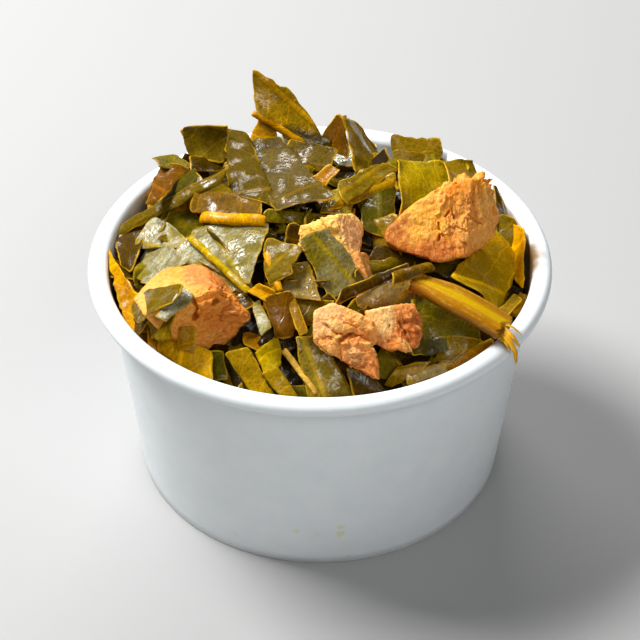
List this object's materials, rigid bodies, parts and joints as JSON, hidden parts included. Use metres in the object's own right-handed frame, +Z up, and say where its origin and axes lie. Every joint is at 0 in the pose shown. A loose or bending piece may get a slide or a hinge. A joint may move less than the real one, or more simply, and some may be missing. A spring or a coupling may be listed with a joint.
{
  "type": "cup of collard greens",
  "caption": "Braised collard greens with chunks of ham, heaped above the rolled rim of a round white paper cup.",
  "frame": {"origin": "on the cup's axis, on the surface that the cup stands on", "axes": "+Z up along the cup's axis, -Y towards the viewer of the picture, +X to the right of the picture"},
  "size_m": [0.097, 0.097, 0.0732],
  "materials": {
    "paper": "smooth white coated paper",
    "greens": "wet, cooked olive and golden-brown leaves",
    "ham": "moist, fibrous, orange-brown to pink",
    "stalk": "wet, translucent yellow"
  },
  "bodies": {
    "root": {"cup": "paper", "greens": "greens", "ham_left": "ham", "ham_middle": "ham", "ham_right": "ham", "ham_front_left": "ham", "ham_front_right": "ham", "leaf_stalk": "stalk"}
  },
  "joints": []
}
